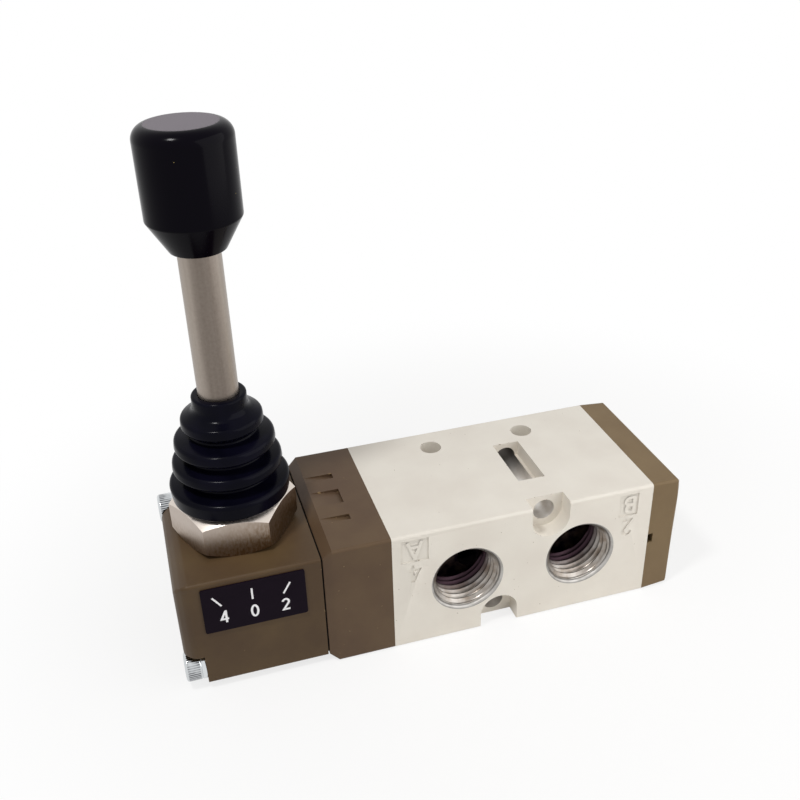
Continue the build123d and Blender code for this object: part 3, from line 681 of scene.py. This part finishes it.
# Each figure with its middle and both ends of its tick, as (x, z) in millimetres
printed = [
    ("4", (-57.06, 16.67), (-58.75, 21.32), (-57.30, 19.21)),
    ("0", (-51.65, 16.57), (-51.80, 21.67), (-51.80, 19.26)),
    ("2", (-46.10, 16.49), (-45.00, 21.27), (-46.33, 19.02)),
]
ink = (plate_front - ink_thickness / 2, plate_front + ink_thickness / 2)
for number, place, tick_top, tick_foot in printed:
    parts = figure(number, Vector(place) * mm, figure_height, figure_weight, ink, white_ink)
    tick = [Vector(tick_top) * mm, Vector(tick_foot) * mm]
    parts.append(stroke("tick_" + number, tick, tick_weight, ink, white_ink))
    for step, part in enumerate(parts):
        part.data.transform(Matrix.Translation((0, -step * ink_step, 0)))
        fit(part, "root", "white_ink")

# Ball joint: a waxy white plastic seat ring, then the ball on the lever, held down by the hexagonal bush.
# The bush is brass under satin nickel, painted brown near its foot as a painted reflection of the housing.
acetal = material("acetal", {"Roughness": 0.45, "Base Color": linear("#DAD7CF")})[0]
nodes["ball_seat"].material_slots[0].material = acetal
for name in ("pivot_ball", "cross_pin", "tip_ball"):
    nodes[name].material_slots[0].material = ground_steel

pivot = Vector(frame["joints"][0]["pos_m"])
hex_foot = pivot.z
hex_top = hex_foot + 7.3 * mm
reflection_height = 8 * mm
reflection_lean = 0.3
satin_nickel, tree, shader = material("satin_nickel", {"Metallic": 1})
place = add(tree, "ShaderNodeTexCoord").outputs["Object"]
spot = add(tree, "ShaderNodeSeparateXYZ", {0: place})
# Streaks that break up the painted reflection's edge, a few tenths of a millimetre wide and twice as long
drawn_out = add(tree, "ShaderNodeMapping", {"Vector": place, "Scale": (1, 1, 0.5)}).outputs[0]
cloud = add(tree, "ShaderNodeTexNoise", {"Vector": drawn_out, "Scale": 1 / (0.4 * mm), "Detail": 6})
# The painted reflection of the brown housing reaches higher on the side towards the body
leaning = add(tree, "ShaderNodeMath", {0: spot.outputs["X"], 1: -reflection_lean}, operation="MULTIPLY")
above = add(tree, "ShaderNodeMath", {0: spot.outputs["Z"], 1: leaning.outputs[0]})
reflection_foot = hex_foot - reflection_lean * pivot.x
foot = add(
    tree, "ShaderNodeMapRange",
    {"Value": above.outputs[0], "From Min": reflection_foot, "To Min": 1.0,
     "From Max": reflection_foot + reflection_height, "To Max": 0.0},
)
ragged = add(tree, "ShaderNodeMath", {0: foot.outputs[0], 1: cloud.outputs[0]}, operation="MULTIPLY")
# Painted reflection: the flats turn brown near the foot, as if mirroring the housing
painted_reflection = add(tree, "ShaderNodeMapRange", {"Value": ragged.outputs[0], "From Min": 0.04, "From Max": 0.5})
tint = add(
    tree, "ShaderNodeMix", {0: painted_reflection.outputs[0], 6: linear("#B5A89D"), 7: linear("#7C6449")}, data_type="RGBA"
)
# The turned chamfer is painted bright above the flats, as a painted highlight
facing = add(tree, "ShaderNodeSeparateXYZ", {0: add(tree, "ShaderNodeNewGeometry").outputs["Normal"]})
chamfer = add(tree, "ShaderNodeMapRange", {"Value": facing.outputs["Z"], "From Min": 0.3, "From Max": 0.6})
painted_chamfer_highlight = add(
    tree, "ShaderNodeMix", {0: chamfer.outputs[0], 6: tint.outputs[2], 7: linear("#D6CCC3")},
    data_type="RGBA",
)
tree.links.new(painted_chamfer_highlight.outputs[2], shader.inputs["Base Color"])
gloss = add(tree, "ShaderNodeMapRange", {"Value": cloud.outputs[0], "To Min": 0.24, "To Max": 0.42})
tree.links.new(gloss.outputs[0], shader.inputs["Roughness"])
fit(softened("boot_bush", satin_nickel, radius=0.18 * mm), "root", "nickel_plate", "boot_bush")

# Lever: one turned stainless rod, polished along its length with a belt.
# It is painted darker down the front, as painted shade.
rod_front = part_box("lever_rod")[0].y
stainless_steel, tree, shader = material("stainless_steel", {"Metallic": 1})
place = add(tree, "ShaderNodeTexCoord").outputs["Object"]
across = add(tree, "ShaderNodeSeparateXYZ", {0: place}).outputs["Y"]
# Painted shade: a darker band down the rod's front
painted_shade_band = add(
    tree, "ShaderNodeMapRange",
    {"Value": across, "From Min": rod_front + 1.2 * mm, "From Max": rod_front + 0.1 * mm},
    interpolation_type="SMOOTHSTEP",
)
# Along the rod run the lines of the belt's grit, about half a millimetre wide, over a fine mottle
drawn_out = add(tree, "ShaderNodeMapping", {"Vector": place, "Scale": (1, 1, 0.03)}).outputs[0]
bands = add(tree, "ShaderNodeTexNoise", {"Vector": drawn_out, "Scale": 1 / (0.7 * mm), "Detail": 3})
mottle = add(tree, "ShaderNodeTexNoise", {"Vector": place, "Scale": 1 / (0.5 * mm), "Detail": 3})
lines = add(tree, "ShaderNodeMix", {0: 0.5, 2: bands.outputs[0], 3: mottle.outputs[0]})
dull = add(tree, "ShaderNodeMix", {0: 0.45, 2: painted_shade_band.outputs[0], 3: lines.outputs[0]})
tint = add(
    tree, "ShaderNodeMix", {0: dull.outputs[0], 6: linear("#A99F95"), 7: linear("#665C54")}, data_type="RGBA"
)
tree.links.new(tint.outputs[2], shader.inputs["Base Color"])
gloss = add(tree, "ShaderNodeMapRange", {"Value": bands.outputs[0], "To Min": 0.3, "To Max": 0.44})
tree.links.new(gloss.outputs[0], shader.inputs["Roughness"])
scratches = add(tree, "ShaderNodeTexNoise", {"Vector": drawn_out, "Scale": 1 / (0.15 * mm), "Detail": 2})
bump = add(
    tree, "ShaderNodeBump", {"Height": scratches.outputs[0], "Strength": 0.2, "Distance": 0.01 * mm}
)
tree.links.new(bump.outputs[0], shader.inputs["Normal"])
fit(softened("lever_rod", stainless_steel, radius=0.15 * mm), "lever", "stainless_steel", "lever_rod")

# Boot: a moulded rubber bellows. Its foot hooks under the bush's collar, and its bead grips the rod.
# Each fold is a round-edged lip, and the valleys between are deep and dark.
spin_steps = 128
# Corners of its outline as radius, height over the hexagon and round, in millimetres: up the outside over
# the folds to the bead, and down the inside
boot_corners = [
    (8.2, 0.05, 0.1), (9.7, 0.05, 0.4), (10.55, 0.75, 0.6), (10.85, 3.7, 0.8), (6.9, 4.8, 0.45),
    (9.85, 6.5, 0.75), (9.65, 8.25, 0.8), (6.2, 9.2, 0.45), (9.0, 10.75, 0.75), (8.8, 12.5, 0.8),
    (5.2, 13.5, 0.45), (7.25, 14.9, 0.75), (7.15, 16.6, 0.75), (4.75, 17.8, 1.5), (4.8, 20.7, 0.45),
    (3.6, 20.7, 0.1), (3.6, 17.9, 0.1), (5.9, 15.9, 0.3), (4.3, 13.6, 0.3),
    (7.9, 11.6, 0.3), (5.3, 9.3, 0.3), (8.7, 7.3, 0.3), (6.0, 4.9, 0.3), (9.8, 3.0, 0.2),
    (9.8, 2.3, 0.1), (8.2, 2.3, 0.1),
]


def rounded(corners, steps=6):
    """An outline through corners (x, y, radius), with a round of that radius at each one."""
    outline = [Vector(corners[0][:2])]
    for before, corner, after in zip(corners, corners[1:], corners[2:]):
        tip = Vector(corner[:2])
        one = (Vector(before[:2]) - tip).normalized()
        two = (Vector(after[:2]) - tip).normalized()
        half = one.angle(two) / 2
        centre = tip + (one + two).normalized() * corner[2] / sin(half)
        start = tip + one * corner[2] / tan(half) - centre
        end = tip + two * corner[2] / tan(half) - centre
        outline += [centre + start.slerp(end, step / steps) * corner[2] for step in range(steps + 1)]
    return outline + [Vector(corners[-1][:2])]


def turned(name, outline, base, finish, closed=False):
    """Spins an outline of (radius, height) round the upright axis through base."""
    work = bmesh.new()
    chain = [work.verts.new(base + Vector((p.x, 0, p.y))) for p in outline]
    edges = [work.edges.new(pair) for pair in zip(chain, chain[1:])]
    if closed:
        edges.append(work.edges.new((chain[-1], chain[0])))
    bmesh.ops.spin(
        work, geom=chain + edges, cent=base, axis=(0, 0, 1), angle=tau, steps=spin_steps, use_merge=True
    )
    bmesh.ops.remove_doubles(work, verts=work.verts, dist=weld_distance)
    return object_from(name, work, finish)


boot_rubber = rubber("boot_rubber", "#060610", "#0C0B19", roughness=0.17)
corners = [(x * mm, z * mm, r * mm) for x, z, r in boot_corners]
ring = [corners[-1]] + corners + [corners[0]]
axis_at_hex = Vector((pivot.x, pivot.y, hex_top))
boot = turned("boot_bellows", rounded(ring)[1:-1], axis_at_hex, boot_rubber, closed=True)
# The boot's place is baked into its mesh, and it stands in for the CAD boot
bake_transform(boot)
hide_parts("boot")

# Knob: compression-moulded phenolic, glossy black, with a threaded brass insert in its base.
# Its flat top is dulled and finely scratched by hands, and painted grey as a painted reflection of the room.
knob_low, knob_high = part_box("knob")
knob_height = knob_high.z - knob_low.z
knob_radius = 7.75 * mm
insert_radius = 3.92 * mm
insert_depth = 13 * mm
phenolic, tree, shader = material("phenolic", {"IOR": 1.5, "Specular IOR Level": 0.05})
place = add(tree, "ShaderNodeTexCoord").outputs["Object"]
height = add(tree, "ShaderNodeSeparateXYZ", {0: place}).outputs["Z"]
# Painted reflection: the flat top is painted grey, and it is rougher than the sides
top = add(
    tree, "ShaderNodeMapRange",
    {"Value": height, "From Min": knob_high.z - 0.03 * mm, "From Max": knob_high.z - 0.01 * mm},
)
tint = add(
    tree, "ShaderNodeMix", {0: top.outputs[0], 6: linear("#040209"), 7: linear("#6C666C")}, data_type="RGBA"
)
# Flecks of brass dust from the insert, a third of a millimetre across and a few to a side
dust = add(tree, "ShaderNodeTexNoise", {"Vector": place, "Scale": 1 / (0.4 * mm), "Detail": 0})
fleck = add(tree, "ShaderNodeMapRange", {"Value": dust.outputs[0], "From Min": 0.89, "From Max": 0.92})
dusted = add(
    tree, "ShaderNodeMix", {0: fleck.outputs[0], 6: tint.outputs[2], 7: linear("#8C7C50")}, data_type="RGBA"
)
tree.links.new(dusted.outputs[2], shader.inputs["Base Color"])
gloss = add(tree, "ShaderNodeMapRange", {"Value": top.outputs[0], "To Min": 0.16, "To Max": 0.42})
tree.links.new(gloss.outputs[0], shader.inputs["Roughness"])
# Out over the roof of the insert's hole, down its wall, round the flared base, up the side and in over the top
corners = [
    (0, insert_depth, 0), (insert_radius, insert_depth, 0.05 * mm), (insert_radius, 0, 0.1 * mm),
    (4.6 * mm, 0, 0.5 * mm), (knob_radius, 5.4 * mm, 0.6 * mm), (knob_radius, knob_height, 2.3 * mm),
    (0, knob_height, 0),
]
base = Vector((pivot.x, pivot.y, knob_low.z))
fit(turned("knob_moulding", rounded(corners, 10), base, phenolic), "lever", "knob_plastic", "knob")
# Turned brass is warm yellow and bright between its tool marks
turned_brass = machined(
    "turned_brass", "#C9A55C", "#A8843F", roughness=0.25, mark_spacing=0.15 * mm, axis="Z"
)
nodes["knob_insert"].material_slots[0].material = turned_brass

# End cover: a thin casting with draft on its sides, in a lighter, more olive enamel: partly a lighter batch,
# partly a painted sheen from the light on the right.
# The slot at its left edge lets the spool's end breathe. Two knurled screws hold it.
olive_enamel = enamel(
    "olive_enamel", "#786446", "#705C40", "#AA9573", gloss_level=0.25, peel_size=0.35 * mm
)
fit(softened("end_cover", olive_enamel, radius=0.15 * mm), "root", "brown_paint", "end_cover")
for screw in screws("cover_screws", inward=-1, length=10 * mm):
    fit(screw, "root", "bright_zinc", "cover_screws")

# Studio: a pale table that turns white away from the valve, a small key lamp and a large soft fill.
# The camera stands where the photograph was taken from.
table_size = 3.0
table_drop = 0.02 * mm
shadow_reach = 0.05
white_from = 0.13


def seen_directly(tree):
    """One for a ray of the camera, of gloss or of glass, and nought for light on its way to the valve."""
    rays = add(tree, "ShaderNodeLightPath").outputs
    camera_or_gloss = add(tree, "ShaderNodeMath", {0: rays["Is Camera Ray"], 1: rays["Is Glossy Ray"]})
    seen = add(
        tree, "ShaderNodeMath", {0: camera_or_gloss.outputs[0], 1: rays["Is Transmission Ray"]},
        use_clamp=True,
    )
    return seen.outputs[0]


work = bmesh.new()
bmesh.ops.create_grid(work, x_segments=1, y_segments=1, size=table_size / 2)
bmesh.ops.translate(work, vec=(0, 0, -table_drop), verts=work.verts)
table, tree, shader = material("pale_table", {"Base Color": linear("#F4F3F1"), "Roughness": 0.9})
floor = object_from("floor", work, table)
place = add(tree, "ShaderNodeTexCoord").outputs["Object"]
far = add(tree, "ShaderNodeVectorMath", {0: place}, operation="LENGTH")
fade = add(
    tree, "ShaderNodeMapRange",
    {"Value": far.outputs["Value"], "From Min": shadow_reach, "To Min": 0.76, "From Max": white_from,
     "To Max": 1.0},
    interpolation_type="SMOOTHSTEP",
)
share = add(tree, "ShaderNodeMath", {0: fade.outputs[0], 1: seen_directly(tree)}, operation="MULTIPLY")
white = add(tree, "ShaderNodeEmission", {"Strength": 1.0})
surface = add(tree, "ShaderNodeMixShader", {0: share.outputs[0], 1: shader.outputs[0], 2: white.outputs[0]})
tree.links.new(surface.outputs[0], tree.nodes["Material Output"].inputs["Surface"])

# The room is white to the eye and lights the valve with less than a third of that
room_light = 0.30
world = bpy.data.worlds.new("studio")
bpy.context.scene.world = world
world.use_nodes = True
tree = world.node_tree
strength = add(tree, "ShaderNodeMapRange", {"Value": seen_directly(tree), "To Min": room_light, "To Max": 1.0})
background = tree.nodes["Background"]
background.inputs["Color"].default_value = (1, 1, 1, 1)
tree.links.new(strength.outputs[0], background.inputs["Strength"])

# Name, place, width and watts of each lamp, all aimed at the middle of the body
lamps = [
    ("key", Vector((-0.14, -0.08, 0.30)), 0.04, 0.43),
    ("fill", Vector((0.13, -0.09, 0.11)), 0.25, 0.28),
]
for name, place, width, watts in lamps:
    lamp = bpy.data.lights.new(name, "AREA")
    lamp.size = width
    lamp.energy = watts
    holder = bpy.data.objects.new(name, lamp)
    bpy.context.scene.collection.objects.link(holder)
    aim = body_middle - place
    holder.matrix_world = Matrix.Translation(place) @ aim.to_track_quat("-Z", "Y").to_matrix().to_4x4()

camera_place = Vector((-61.7, -147.7, 132.9)) * mm
camera_aim = Vector((0.2397, 0.8333, -0.4981))
camera_roll = radians(-1.7)
lens = bpy.data.cameras.new("camera")
lens.lens = 43.22
lens.sensor_width = 36
lens.clip_start = 0.005
camera = bpy.data.objects.new("camera", lens)
bpy.context.scene.collection.objects.link(camera)
camera.matrix_world = (
    Matrix.Translation(camera_place) @ camera_aim.to_track_quat("-Z", "Y").to_matrix().to_4x4()
    @ Matrix.Rotation(camera_roll, 4, "Z")
)
bpy.context.scene.camera = camera
bpy.context.scene.view_settings.view_transform = "Standard"
